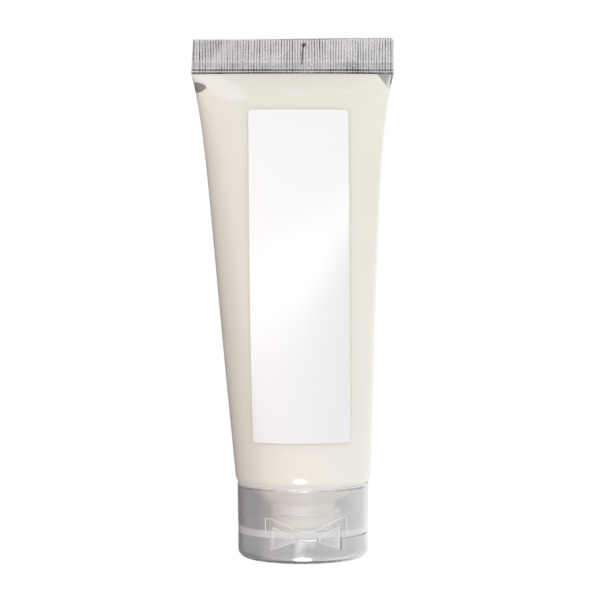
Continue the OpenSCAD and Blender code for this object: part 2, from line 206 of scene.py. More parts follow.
soft = "SMOOTHSTEP"
ring = remap(tree, towards(BRIGHT_SIDE), *GREY_TO_BRIGHT, ROOM_GREY, ROOM_BRIGHT, interpolation_type=soft)
fill = remap(tree, towards(FRONT_LEFT), FILL_FROM, 1.0, 0.0, FRONT_LEFT_FILL, interpolation_type=soft)
overhead = remap(tree, axes.outputs["Z"], CEILING_FROM, 1.0, 1.0, CEILING)
underfoot = remap(tree, axes.outputs["Z"], FLOOR_FROM, -1.0, 1.0, FLOOR)
walls = maths(tree, "ADD", ring, fill)
strength = maths(tree, "MULTIPLY", walls, maths(tree, "MULTIPLY", overhead, underfoot))
limit = remap(tree, path.outputs["Is Transmission Ray"], 0.0, 1.0, NO_LIMIT, BRIGHTEST_THROUGH_PLASTIC)
kept = maths(tree, "MINIMUM", strength, limit)
seen = add(tree, "ShaderNodeMix", [("Factor", path.outputs["Is Camera Ray"]), ("A", kept)], B=1.0)
left_wall = remap(tree, axes.outputs["X"], PINK_FROM, -1.0, 0.0, 1.0)
unseen = maths(tree, "LESS_THAN", path.outputs["Is Camera Ray"], 0.5)
wall_colour = mix(tree, maths(tree, "MULTIPLY", left_wall, unseen), "#ffffff", "#ffede9")
glow = add(tree, "ShaderNodeBackground", [("Strength", seen.outputs["Result"]), ("Color", wall_colour)])
add(tree, "ShaderNodeOutputWorld", [("Surface", glow.outputs[0])])

# The long lamp's reflection is the slanting band on the label. A dimmer box above it lightens the label over
# the band, and a fill from the left keeps its left edge white. The two lamps under the glass make the small
# ovals on the sleeve's turned-in edge and on the lid's rounded one
long_lamp = lamp(
    "long_lamp",
    "RECTANGLE",
    (-0.15, -0.60, 0.184),
    Vector((2.3327, -0.2769, 0.2731)),
    Vector((-0.00995, -0.00059, 0.08441)),
    2.8,
)
upper_box = lamp(
    "upper_box",
    "RECTANGLE",
    (-0.15, -0.60, 0.669),
    Vector((2.3303, -0.2667, 0.2633)),
    Vector((-0.09605, -0.00546, 0.84454)),
    10.0,
)
label_fill = lamp("label_fill", "SQUARE", (-0.9, -0.15, 0.04), Vector((0, -0.5, 0)), Vector((0, 0, 0.5)), 1.5)
label_fill.visible_diffuse = True
label_fill.visible_glossy = False
lower_lamp = lamp(
    "lower_lamp", "ELLIPSE", (-0.09, -0.883, -0.469), Vector((0.40, 0, 0)), Vector((0, -0.415, 0.78)), 5.6
)
lid_lamp = lamp(
    "lid_lamp", "ELLIPSE", (0, -0.656, -0.755), Vector((0.48, 0, 0)), Vector((0, -0.906, 0.787)), 10.0
)

# Sleeve
# Clear low-density polyethylene film, extruded as a tube of one girth. It is flattened towards the tail,
# and its other end is turned in over the head.
SLEEVE_R = 17.5
SLEEVE_WALL = 0.5
SLEEVE_LENGTH = 103.5
CORNER_R = 4.0
CORNER_X = SLEEVE_R - CORNER_R
NECK_END_Z = 8.25
NECK_ROOT_Z = 14.05
NECK_R = 8.2
SHOULDER_ANGLE = math.radians(30)
CORNER_Z = NECK_ROOT_Z + (CORNER_X - NECK_R) * math.tan(SHOULDER_ANGLE) + CORNER_R / math.cos(SHOULDER_ANGLE)
BEAD_Z = CORNER_Z + SLEEVE_LENGTH
BEAD_HALF = 0.65
SEAL_SHRINK = 0.043
TAIL_HALF = math.pi * SLEEVE_R / 2 * (1 - SEAL_SHRINK)
TAIL_LEAN = 2.7
SIDES = 160
SLEEVE_ROWS = 120
CORNER_ROWS = 14
GIRTH_TRIES = 24
EVEN_FLARE = 0.75
END_FLARE_POWER = 9
LEAN_POWER = 1.4
LEAST_HALF_DEPTH = 0.2
ROW_CROWDING = 1.5


def half_width(t):
    """Half width of the sleeve at share t of its length. The last of the flare comes close to the tail."""
    return SLEEVE_R + (TAIL_HALF - SLEEVE_R) * (EVEN_FLARE * t + (1 - EVEN_FLARE) * t**END_FLARE_POWER)


def half_depth(t):
    """Half depth at which the oval has the film's girth, by Ramanujan's formula for an ellipse."""
    a, girth = half_width(t), 2 * math.pi * SLEEVE_R * (1 - SEAL_SHRINK * t**3)
    low, high = BEAD_HALF, SLEEVE_R + 1
    for _ in range(GIRTH_TRIES):
        b = (low + high) / 2
        if math.pi * (3 * (a + b) - math.sqrt((3 * a + b) * (a + 3 * b))) > girth:
            high = b
        else:
            low = b
    return low


def lean(t):
    """Sideways place of the oval's middle."""
    return -TAIL_LEAN * (1 - (1 - t) ** LEAN_POWER)


def smooth_step(low, high, value):
    """Goes softly from 0 at low to 1 at high."""
    s = min(1.0, max(0.0, (value - low) / (high - low)))
    return s * s * (3 - 2 * s)


# Creases where the round film goes over into the flat tail: ends (x, z), half width, depth, and whether
# they lie at the front (-1) or the back (1)
CREASES = (
    ((-22.5, 125.0), (-14.2, 119.4), 3.2, 0.30, -1),
    ((-14.2, 119.4), (-21.0, 116.4), 3.0, 0.22, -1),
    ((21.0, 124.6), (16.0, 117.0), 3.4, 0.22, -1),
    ((-20.5, 124.6), (-12.5, 117.2), 3.4, 0.30, 1),
    ((20.0, 125.0), (13.0, 118.6), 3.2, 0.28, 1),
    ((13.0, 118.6), (19.5, 114.5), 2.6, 0.18, 1),
)
# How far a crease runs on past its ends and where it is full, as shares of its length, the form of its
# flanks, and the most of the half depth that it takes
CREASE_OVERRUN = 0.2
CREASE_FULL = 0.3
CREASE_FLANK = 1.5
CREASE_SHARE = 0.6


def crease(x, z, side):
    """Depth of the creases at a point of the film's front or back."""
    depth = 0.0
    for (x0, z0), (x1, z1), width, deep, its_side in CREASES:
        if side * its_side < 0:
            continue
        along_x, along_z = x1 - x0, z1 - z0
        run = along_x**2 + along_z**2
        s = ((x - x0) * along_x + (z - z0) * along_z) / run
        off = abs((x - x0) * along_z - (z - z0) * along_x) / math.sqrt(run)
        if off < width and -CREASE_OVERRUN < s < 1 + CREASE_OVERRUN:
            ends = smooth_step(-CREASE_OVERRUN, CREASE_FULL, s)
            ends *= 1 - smooth_step(1 - CREASE_FULL, 1 + CREASE_OVERRUN, s)
            depth = max(depth, deep * (1 - off / width) ** CREASE_FLANK * ends)
    return depth


def sleeve_ring(t, inset):
    """One oval of the sleeve at share t of its length, drawn in by inset."""
    a, b, middle = half_width(t) - inset, max(half_depth(t) - inset, LEAST_HALF_DEPTH), lean(t)
    z = CORNER_Z + t * SLEEVE_LENGTH
    ring = []
    for k in range(SIDES):
        angle = 2 * math.pi * k / SIDES
        x, y = middle + a * math.cos(angle), b * math.sin(angle)
        depth = min(crease(x, z, y) * min(1.0, abs(math.sin(angle)) * 2), CREASE_SHARE * abs(y))
        ring.append((x, y - math.copysign(depth, y), z))
    return ring


def circle(r, z):
    """A ring of radius r round the tube's axis."""
    turns = [2 * math.pi * k / SIDES for k in range(SIDES)]
    return [(r * math.cos(angle), r * math.sin(angle), z) for angle in turns]


def corner_ring(share, inset):
    """A ring of the turned-in edge, from the shoulder's slope (0) out to the upright wall (1)."""
    angle = SHOULDER_ANGLE + (math.pi / 2 - SHOULDER_ANGLE) * share
    r = CORNER_R - inset
    return circle(CORNER_X + r * math.sin(angle), CORNER_Z - r * math.cos(angle))


def skin(rings):
    """Points and faces of a closed skin through rings of equally many points."""
    count = len(rings[0])
    points = [point for ring in rings for point in ring]
    faces = [
        (j + i, j + (i + 1) % count, j + count + (i + 1) % count, j + count + i)
        for j in range(0, len(points) - count, count)
        for i in range(count)
    ]
    faces.append(tuple(range(count)))
    faces.append(tuple(range(len(points) - count, len(points))))
    return points, faces


def smoothed(mesh, sharp):
    """Turns all faces outwards and makes them smooth, up to edges sharper than the given degrees."""
    form = bmesh.new()
    form.from_mesh(mesh)
    bmesh.ops.recalc_face_normals(form, faces=form.faces)
    for edge in form.edges:
        edge.smooth = len(edge.link_faces) == 2 and math.degrees(edge.calc_face_angle(0)) < sharp
    for face in form.faces:
        face.smooth = True
    form.to_mesh(mesh)
    form.free()


def solid(name, skins, materials, sharp=40.0):
    """A piece of one or more closed skins in millimetres. The skins take the materials in turn."""
    mesh = bpy.data.meshes.new(name)
    points, faces, kinds = [], [], []
    for kind, (skin_points, skin_faces) in enumerate(skins):
        start = len(points)
        points += [(x * MM, y * MM, z * MM) for x, y, z in skin_points]
        faces += [tuple(start + k for k in face) for face in skin_faces]
        kinds += [kind % len(materials)] * len(skin_faces)
    mesh.from_pydata(points, [], faces)
    for material in materials:
        mesh.materials.append(material)
    mesh.polygons.foreach_set("material_index", kinds)
    smoothed(mesh, sharp)
    piece = bpy.data.objects.new(name, mesh)
    scene.collection.objects.link(piece)
    return piece


def mark(piece, name, measure):
    """Keeps at each point of a piece a number that its material reads, found from x, y, z in mm."""
    values = [measure(*(vertex.co / MM)) for vertex in piece.data.vertices]
    piece.data.attributes.new(name, "FLOAT", "POINT").data.foreach_set("value", values)


def clear_to_light(piece):
    """Lets even light through a clear piece. Gloss and refraction still see it."""
    piece.visible_diffuse = False
    piece.visible_shadow = False


def grain(tree, scale, detail):
    """Noise that stays on the piece, with about as many features to the metre as scale says."""
    place = add(tree, "ShaderNodeTexCoord")
    node = add(tree, "ShaderNodeTexNoise", [("Vector", place.outputs["Object"])], Scale=scale, Detail=detail)
    return node.outputs["Fac"]


def attribute(tree, name):
    """The number that the piece keeps under a name at each point."""
    return add(tree, "ShaderNodeAttribute", attribute_name=name).outputs["Fac"]


def ramp(tree, value, low, high):
    """A ramp from one hex colour to another."""
    node = add(tree, "ShaderNodeValToRGB", [("Fac", value)])
    node.color_ramp.elements[0].color = linear(low)
    node.color_ramp.elements[1].color = linear(high)
    return node


def relief(tree, height, strength, depth):
    """The normal of a surface with fine ups and downs. depth is in mm."""
    node = add(tree, "ShaderNodeBump", [("Height", height)], Strength=strength, Distance=depth * MM)
    return node.outputs[0]


def surface(tree, links, **settings):
    """Adds the material's shader, with links and settings for its inputs, and its output."""
    shader = add(tree, "ShaderNodeBsdfPrincipled", links, **settings)
    add(tree, "ShaderNodeOutputMaterial", [("Surface", shader.outputs[0])])


def row_share(k):
    """Share of the sleeve's length at row k. Rows are closer together near the tail."""
    return 1 - (1 - k / SLEEVE_ROWS) ** ROW_CROWDING


# Extruded LDPE, IOR 1.51, is water-clear and smooth with faint draw lines along the tube
film, tree = new_material("clear_ldpe_film")
place = add(tree, "ShaderNodeTexCoord")
stretch = add(tree, "ShaderNodeMapping", [("Vector", place.outputs["Object"])], Scale=(900, 900, 25))
draw_lines = add(tree, "ShaderNodeTexNoise", [("Vector", stretch.outputs[0])], Scale=1.0, Detail=2.0)
heights = maths(tree, "ADD", draw_lines.outputs["Fac"], grain(tree, 120.0, 1.0))
surface(
    tree,
    [("Normal", relief(tree, heights, 0.10, 0.03))],
    Base_Color=linear("#fbfbfa"),
    Roughness=0.05,
    IOR=1.51,
    Transmission_Weight=1.0,
)

# One skin goes down inside the wall, round the turned-in edge and up outside. Its inside ends just below
# the bead
LAST_INSIDE_ROW = SLEEVE_ROWS - 2
inside = [sleeve_ring(row_share(k), SLEEVE_WALL) for k in range(LAST_INSIDE_ROW, -1, -1)]
inside_corner = [corner_ring(k / CORNER_ROWS, SLEEVE_WALL) for k in range(CORNER_ROWS - 1, -1, -1)]
outside_corner = [corner_ring(k / CORNER_ROWS, 0) for k in range(CORNER_ROWS)]
outside = [sleeve_ring(row_share(k), 0) for k in range(SLEEVE_ROWS + 1)]
sleeve_skin = skin(inside + inside_corner + outside_corner + outside)

# Crimp
# The tail, pressed flat and sealed between hot ribbed jaws: a bead of squeezed-out film at its foot, a
# row of short ribs and a row of long ones. The ribs come out uneven, and the film is creased near the middle.
SEAL_Z = BEAD_Z + 0.9
TAIL_Z = SEAL_Z + 8.0
SEAL_HALF = 0.45
RIB_PITCH = 1.42
RIB_DEPTH = 0.11
SHORT_RIBS = (SEAL_Z + 0.35, SEAL_Z + 2.0)
LONG_RIBS = (SEAL_Z + 2.4, TAIL_Z - 0.4)
BEAD_MIDDLE = 0.58
BEAD_HALF_HEIGHT = 0.36
BEAD_LINES = (SEAL_Z + 0.05, BEAD_Z + 0.12)
BEAD_LINE_HALF = 0.13
BEAD_LINE_SHADE = 1.6
BESIDE_BEAD_HALF = 0.30
BEAD_FOOT = (BEAD_Z - 0.12, BEAD_Z + 0.10)
SEAL_RISE = 0.3
CRIMP_FOOT_Z = BEAD_Z - 0.15
CRIMP_COLUMNS = 592
CRIMP_ROWS = 46
TAIL_CORNER_R = 1.2
TAIL_RISE = 0.45
TAIL_RISE_SPAN = (4, 24)
TAIL_WAVINESS = 0.05
LEFT_END_SLANT = 0.45
RIB_WANDER = 0.22
RIB_LEAST = 0.15
RIB_VARIETY = 1.5
ROW_JITTER = 0.5
ROW_GAP_DEPTH = 0.55
ROW_END_OUT = 0.10
ROW_END_IN = 0.15
SHORT_ROW_START = (0, 0.4)
SHORT_ROW_END = (-0.2, 0.3)
SHORT_ROW_FADE = 0.35
SHORT_ROW_GREY = 0.14
GROOVE_HALF = 0.13
GROOVE_LEAST = 0.35
GROOVE_VARIETY = 1.04
FINE_GROOVE_HALF = 0.12
FINE_GROOVE_VARIETY = 1.3
SIDE_ROUND = 0.4
SIDE_THICKNESS = 0.25
TOP_ROUND = 0.25
TOP_THICKNESS = 0.55
CRACK = ((3.05, 133.3), (2.95, 132.6), (2.62, 131.3), (2.50, 129.8), (2.42, 127.6))
CRACK_HEAD = (131.9, 132.5)
CRACK_HALF = 0.15
CRACK_HEAD_EXTRA = 0.45
CRACK_DEPTH = 0.18


def soft_noise(x, z, seed):
    """Smooth noise from 0 to 1 over the tail. Each seed gives a pattern of its own."""
    return 0.5 + 0.5 * noise.noise(Vector((x, z, seed)))


def crack_depth(x, z):
    """From 0 beside the crease in the tail to 1 in it. It is widest at its upper end."""
    for (x1, z1), (x0, z0) in zip(CRACK, CRACK[1:]):
        if z0 <= z < z1:
            off = abs(x - x0 - (x1 - x0) * (z - z0) / (z1 - z0))
            half = CRACK_HALF + CRACK_HEAD_EXTRA * smooth_step(*CRACK_HEAD, z)
            return math.sqrt(max(0.0, 1 - (off / half) ** 2))
    return 0.0


def rib_height(x, z):
    """Place of the ribbed film, from 1 on a rib to -1 in a groove, and how deep the ribs are there."""
    across = x + RIB_WANDER * noise.noise(Vector((x * 0.35, z * 0.12, 3.0)))
    deep = RIB_LEAST + RIB_VARIETY * soft_noise(x * 0.5, z * 0.2, 7.0)
    jitter = ROW_JITTER * noise.noise(Vector((x * 1.3, 0, 5.0)))
    rows = ROW_GAP_DEPTH
    for low, high in (SHORT_RIBS, LONG_RIBS):
        start = smooth_step(low - ROW_END_OUT, low + ROW_END_IN, z + jitter)
        end = 1 - smooth_step(high - ROW_END_IN, high + ROW_END_OUT, z - jitter)
        rows = max(rows, start * end)
    beat = (across / RIB_PITCH) % 1.0
    number = math.floor(across / RIB_PITCH + 0.5)
    main_off = min(beat, 1 - beat) * RIB_PITCH
    half_off = abs(beat - 0.5) * RIB_PITCH
    first = GROOVE_LEAST + GROOVE_VARIETY * soft_noise(number * 3.7, z * 0.25, 9.0)
    second = FINE_GROOVE_VARIETY * soft_noise(number * 2.3, z * 0.25, 11.0)
    groove = first * math.exp(-((main_off / GROOVE_HALF) ** 2))
    groove += second * math.exp(-((half_off / FINE_GROOVE_HALF) ** 2))
    return 1 - 2 * min(1.0, groove), deep * rows


def tail_top(x):
    """Height of the tail's upper edge at x from its middle. The right end stands a little higher."""
    top = TAIL_Z + TAIL_RISE * smooth_step(*TAIL_RISE_SPAN, x)
    top += TAIL_WAVINESS * noise.noise(Vector((x * 0.5, 0, 1)))
    round_x = max(0.0, x - (TAIL_HALF - TAIL_CORNER_R)) / TAIL_CORNER_R
    return top - TAIL_CORNER_R * (1 - math.sqrt(max(0.0, 1 - round_x**2)))


def half_thickness(z):
    """Half thickness of the crimp at height z: the bead, its two grooves, and the sealed film."""
    bead = BEAD_HALF * math.sqrt(max(0.0, 1 - ((z - BEAD_Z - BEAD_MIDDLE) / BEAD_HALF_HEIGHT) ** 2))
    sealed = BESIDE_BEAD_HALF + (SEAL_HALF - BESIDE_BEAD_HALF) * smooth_step(SEAL_Z, SEAL_Z + SEAL_RISE, z)
    foot = BEAD_HALF * (1 - smooth_step(*BEAD_FOOT, z))
    return max(bead, sealed, foot)


def crimp_ring(share):
    """The crimp's outline at a share of its height, along its front to the right and back behind."""
    front, back = [], []
    for k in range(CRIMP_COLUMNS + 1):
        x = TAIL_HALF * (2 * k / CRIMP_COLUMNS - 1)
        z = CRIMP_FOOT_Z + share * (tail_top(x) - CRIMP_FOOT_Z)
        height, deep = rib_height(x, z)
        wave = RIB_DEPTH * height * deep
        from_side = min(TAIL_HALF - abs(x), SIDE_ROUND) / SIDE_ROUND
        from_top = min(tail_top(x) - z, TOP_ROUND) / TOP_ROUND
        side_arc, top_arc = (math.sqrt(1 - (1 - near) ** 2) for near in (from_side, from_top))
        rounding = side_arc * (TOP_THICKNESS + (1 - TOP_THICKNESS) * top_arc)
        half = half_thickness(z) * (SIDE_THICKNESS + (1 - SIDE_THICKNESS) * rounding)
        slant = LEFT_END_SLANT * share * smooth_step(0, -TAIL_HALF, x)
        front.append((x - TAIL_LEAN + slant, -half - wave + CRACK_DEPTH * crack_depth(x, z), z))
        back.append((x - TAIL_LEAN + slant, half - wave, z))
    return front + back[::-1]


def groove_shade_mark(x, y, z):
    """How deep in a groove a point of the crimp lies, from 0 to 1, and more in the lines beside the bead: the
    amount of painted shade it gets. The short row gets less groove shade and an even grey.
    """
    height, deep = rib_height(x + TAIL_LEAN, z)
    grooves = 0.5 * (1 - height) * min(1.0, deep)
    short_row = smooth_step(*SHORT_ROW_START, z - SHORT_RIBS[0])
    short_row *= 1 - smooth_step(*SHORT_ROW_END, z - SHORT_RIBS[1])
    bead_lines = sum(math.exp(-(((z - line) / BEAD_LINE_HALF) ** 2)) for line in BEAD_LINES)
    ribs = grooves * (1 - SHORT_ROW_FADE * short_row) + SHORT_ROW_GREY * short_row
    return ribs + BEAD_LINE_SHADE * bead_lines


# Sealed LDPE is greyer than the film: its two faces scatter light at every rib. Its grooves and two lines
# along the bead are darkened with painted shade, the crease in the tail is painted near-black as painted
# shade, and the white flecks on the rib tops are painted glints
pressed, tree = new_material("heat_sealed_ldpe")
FLECK_MM = 0.5
groove = attribute(tree, "groove")
patches = remap(tree, grain(tree, 170.0, 3.0), 0.36, 0.64, 0.5, 1.35)
# Painted shade: the deeper in a groove or the nearer the bead lines, the darker the crimp
groove_shade_greys = ramp(tree, maths(tree, "MULTIPLY", groove, patches), "#d9d8d9", "#2c2b2d")
groove_shade_greys.color_ramp.elements.new(0.4).color = linear("#949395")
flecks = grain(tree, 1 / (FLECK_MM * MM), 1.0)
rib_top = maths(tree, "SUBTRACT", 1.0, groove, use_clamp=True)
# Painted glints: white flecks on the rib tops
on_rib = maths(tree, "MULTIPLY", remap(tree, flecks, 0.58, 0.66, 0.0, 0.9), rib_top)
glint_flecked = mix(tree, on_rib, groove_shade_greys.outputs["Color"], "#f1f1f1")
# The crease in the tail is painted near-black: painted shade
crack_shaded = mix(tree, attribute(tree, "crack_shade"), glint_flecked, "#040404")
surface(
    tree,
    [("Base Color", crack_shaded), ("Normal", relief(tree, flecks, 0.7, 0.12))],
    Roughness=0.22,
    IOR=1.51,
    Transmission_Weight=0.35,
)

crimp_skin = skin([crimp_ring(k / CRIMP_ROWS) for k in range(CRIMP_ROWS + 1)])
sleeve = solid("sleeve_and_crimp", [sleeve_skin, crimp_skin], [film, pressed])
# The painted shade of the grooves, the short row and the lines along the bead
mark(sleeve, "groove", groove_shade_mark)
# Painted shade along the crease at the tail's front
mark(sleeve, "crack_shade", lambda x, y, z: crack_depth(x + TAIL_LEAN, z) if y < 0 else 0.0)
clear_to_light(sleeve)
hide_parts("tube_sleeve")
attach(sleeve, "tube")

# Head
# Injection-moulded natural HDPE: neck with its end wall and outlet, sloping shoulder, and a rounded edge
# that is welded inside the sleeve's turned-in end. A thread of one and a half turns runs round the neck.
NECK_WALL = 1.2
OUTLET_R = 3.0
OUTLET_WALL = 1.0
SHOULDER_WALL = 1.4
WELD_OVERLAP = 0.1
WELD_R = CORNER_R - SLEEVE_WALL + WELD_OVERLAP
EDGE_STEPS = 12
THREAD_PITCH = 2.5
THREAD_TURNS = 1.5
THREAD_DEPTH = 0.32
THREAD_HALF = 0.5
THREAD_LEAD_IN = 1.0
THREAD_STEPS = 72
THREAD_FADE = 0.08
THREAD_SECTION = ((-0.3, -1), (0, -1), (0.75, -0.55), (1, -0.2), (1, 0.2), (0.75, 0.55), (0, 1), (-0.3, 1))
NECK_ROUND = 0.3


def closed_round(rings):
    """A closed skin through rings whose last one joins the first."""
    points, faces = skin(rings)
    count = len(rings[0])
    last = len(points) - count
    seam = [(last + i, last + (i + 1) % count, (i + 1) % count, i) for i in range(count)]
    return points, faces[:-2] + seam


def lathe(profile):
    """A closed skin turned round the tube's axis from a closed profile of (radius, height) points."""
    return closed_round([circle(r, z) for r, z in profile])


def edge_arc(r, shares):
    """Points of the head's rounded edge at radius r from its centre."""
    angles = [SHOULDER_ANGLE + (math.pi / 2 - SHOULDER_ANGLE) * share for share in shares]
    return [(CORNER_X + r * math.sin(angle), CORNER_Z - r * math.cos(angle)) for angle in angles]


shares = [k / EDGE_STEPS for k in range(EDGE_STEPS + 1)]
inner_neck_r = NECK_R - NECK_WALL
inner_root_z = NECK_ROOT_Z - NECK_WALL * math.tan(SHOULDER_ANGLE) + SHOULDER_WALL / math.cos(SHOULDER_ANGLE)
head_profile = [
    (OUTLET_R, NECK_END_Z),
    (NECK_R - NECK_ROUND, NECK_END_Z),
    (NECK_R, NECK_END_Z + NECK_ROUND),
    (NECK_R, NECK_ROOT_Z),
    *edge_arc(WELD_R, shares),
    *edge_arc(WELD_R - SHOULDER_WALL, shares[::-1]),
    (inner_neck_r, inner_root_z),
    (inner_neck_r, NECK_END_Z + OUTLET_WALL),
    (OUTLET_R, NECK_END_Z + OUTLET_WALL),
]


def thread_skin():
    """The neck's thread: a rounded ridge along a helix that rises out of the neck and fades into it."""
    steps = int(THREAD_TURNS * THREAD_STEPS)
    rings = []
    for k in range(steps + 1):
        share = k / steps
        angle = 2 * math.pi * THREAD_TURNS * share
        fade = smooth_step(0, THREAD_FADE, share) * (1 - smooth_step(1 - THREAD_FADE, 1, share))
        z = NECK_END_Z + THREAD_LEAD_IN + THREAD_PITCH * THREAD_TURNS * share
        ring = []
        for u, v in THREAD_SECTION:
            r = NECK_R + THREAD_DEPTH * (u if u < 0 else u * fade)
            ring.append((r * math.cos(angle), r * math.sin(angle), z + v * THREAD_HALF))
        rings.append(ring)
    return skin(rings)


# Natural HDPE, IOR 1.54, is milk-white and waxy: light goes a few millimetres into it
milky, tree = new_material("natural_hdpe")
clouds = grain(tree, 180.0, 3.0)
tint = ramp(tree, clouds, "#ddd6ca", "#e6dfd3")
surface(
    tree,
    [("Base Color", tint.outputs["Color"]), ("Normal", relief(tree, clouds, 0.1, 0.05))],
    Roughness=0.35,
    IOR=1.54,
    Transmission_Weight=0.12,
    Subsurface_Weight=0.4,
    Subsurface_Radius=(0.003, 0.0025, 0.002),
    Subsurface_Scale=1.0,
)

head = solid("shoulder_and_neck", [lathe(head_profile)], [milky], 30.0)
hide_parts("tube_head")
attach(head, "tube")
thread = solid("neck_thread", [thread_skin()], [milky], 50.0)
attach(thread, "tube")

# Cap
# One moulding of clear random-copolymer polypropylene, screwed onto the neck: a base with skirt, deck,
# collar and spout, and a lid with a plug. A butterfly hinge at the front joins the two.
PARTING_Z = 6.35
CAP_R = 16.75
CAP_TURN = Matrix.Rotation(math.radians(3.3), 2)
EDGE_ROUND = 0.09
SHARP_DEGREES = 35.0
FLAT_ANGLE = math.radians(0.4)
SAME_PLACE = 0.001
DECK_THICKNESS = 1.8
DECK_MARGIN = 0.05


def height_on_piece(tree):
    """The height in metres."""
    place = add(tree, "ShaderNodeTexCoord")
    return add(tree, "ShaderNodeSeparateXYZ", [("Vector", place.outputs["Object"])]).outputs["Z"]


# Clear PP, IOR 1.49, from a polished mould: a sharp gloss on the surface, but a haze in the wall that
# blurs whatever is behind it. A band at the height of the thick deck, the skirt's wall included, is cloudy
# and painted grey, the grey being painted shade for the deck in the shade inside the cap. It shows as a pale
# band
clear_pp, tree = new_material("clear_polypropylene")
haze = grain(tree, 140.0, 3.0)
height = height_on_piece(tree)
above = maths(tree, "GREATER_THAN", height, (PARTING_Z - DECK_MARGIN) * MM)
below = maths(tree, "LESS_THAN", height, (PARTING_Z + DECK_THICKNESS + DECK_MARGIN) * MM)
deck_haze_and_shade = maths(tree, "MULTIPLY", above, below)
surface(
    tree,
    [
        # Painted shade: grey over the band at the deck's height
        ("Base Color", mix(tree, deck_haze_and_shade, "#f9f9fa", "#d4d4d5")),
        ("Transmission Weight", remap(tree, deck_haze_and_shade, 0.0, 1.0, 0.975, 0.15)),
        ("Roughness", remap(tree, haze, 0.3, 0.7, 0.14, 0.20)),
        ("Normal", relief(tree, haze, 0.06, 0.05)),
    ],
    IOR=1.49,
    Coat_Weight=1.0,
    Coat_Roughness=0.03,
    Coat_IOR=1.49,
)


def moulded(node, name):
    """A piece in the form of a CAD node, with its flat faces made whole and its edges rounded."""
    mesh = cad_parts[node].data.copy()
    mesh.name = name
    mesh.materials.clear()
    form = bmesh.new()
    form.from_mesh(mesh)
    bmesh.ops.remove_doubles(form, verts=form.verts, dist=SAME_PLACE * MM)
    bmesh.ops.dissolve_degenerate(form, edges=form.edges, dist=SAME_PLACE * MM)
    bmesh.ops.dissolve_limit(form, angle_limit=FLAT_ANGLE, verts=form.verts, edges=form.edges)
    form.to_mesh(mesh)
    form.free()
    if mesh.attributes.get("custom_normal"):
        mesh.attributes.remove(mesh.attributes["custom_normal"])
    smoothed(mesh, SHARP_DEGREES)
    piece = bpy.data.objects.new(name, mesh)
    scene.collection.objects.link(piece)
    rounding = piece.modifiers.new("mould_radius", "BEVEL")
    rounding.width = EDGE_ROUND * MM
    rounding.segments = 2
    rounding.limit_method = "ANGLE"
    rounding.angle_limit = math.radians(SHARP_DEGREES)
    rounding.harden_normals = True
    return piece


# The base turns on the neck, and the lid swings on the base
cap_pieces = []
for node, name, body in (("cap_base", "cap_base_moulding", "cap"), ("cap_lid", "cap_lid_moulding", "lid")):
    piece = moulded(node, name)
    cap_pieces.append(piece)
    piece.data.materials.append(clear_pp)
    clear_to_light(piece)
    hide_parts(node)
    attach(piece, body)

# The rounded edge of the shallow recess round the hinge, which catches the light as a bright line: drawn as a
# thin rod of painted highlight
RECESS_HALF = 10.2
RECESS_END_HEIGHT = 5.15
RECESS_MIDDLE_HEIGHT = 1.9
RECESS_EDGE_R = 0.10
RECESS_STEPS = 60
RECESS_END_STEPS = 12
ROD_SIDES = 10
ROD_TURNS = [2 * math.pi * j / ROD_SIDES for j in range(ROD_SIDES)]


def recess_path():
    """Points of the recess's edge on the cap's wall: up its left end, over the hinge, down its right end."""
    end = [RECESS_END_HEIGHT * k / RECESS_END_STEPS for k in range(2, RECESS_END_STEPS)]
    heights = [(-RECESS_HALF, height) for height in end]
    for k in range(RECESS_STEPS + 1):
        x = RECESS_HALF * (2 * k / RECESS_STEPS - 1)
        s = abs(x) / RECESS_HALF
        rise = (RECESS_END_HEIGHT - RECESS_MIDDLE_HEIGHT) * s * s * (3 - 2 * s)
        heights.append((x, RECESS_MIDDLE_HEIGHT + rise))
    heights += [(RECESS_HALF, height) for height in end[::-1]]
    wall = [CAP_TURN @ Vector((x, -math.sqrt(CAP_R**2 - x * x))) for x, _ in heights]
    return [(spot.x, spot.y, PARTING_Z + height) for spot, (_, height) in zip(wall, heights)]


def ring_skin(path, r):
    """A closed round ring of radius r along a level circle."""
    rings = []
    for x, y, z in path:
        out = Vector((x, y, 0)).normalized()
        reach = [r * math.cos(a) for a in ROD_TURNS]
        rise = [r * math.sin(a) for a in ROD_TURNS]
        rings.append([(x + out.x * u, y + out.y * u, z + v) for u, v in zip(reach, rise)])
    return closed_round(rings)


def rod_skin(path, r):
    """A closed round rod of radius r along a path in the cap's wall."""
    rings = []
    for k, point in enumerate(path):
        here = Vector(point)
        ahead = Vector(path[min(k + 1, len(path) - 1)]) - Vector(path[max(k - 1, 0)])
        out = Vector((here.x, here.y, 0)).normalized()
        side = ahead.cross(out).normalized()
        rings.append([tuple(here + out * r * math.cos(a) + side * r * math.sin(a)) for a in ROD_TURNS])
    return skin(rings)


# A rounded edge of clear polypropylene gathers the light and stands out white: a near-white, less clear
# material for rods of painted highlight
edge_highlight_pp, tree = new_material("rounded_pp_edge_painted_highlight")
shine = ramp(tree, grain(tree, 700.0, 2.0), "#e9e9ea", "#ffffff")
surface(tree, [("Base Color", shine.outputs["Color"])], Roughness=0.12, IOR=1.49, Transmission_Weight=0.45)

recess_edge_highlight = solid("recess_edge_highlight", [rod_skin(recess_path(), RECESS_EDGE_R)], [edge_highlight_pp], 60.0)
clear_to_light(recess_edge_highlight)
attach(recess_edge_highlight, "cap")

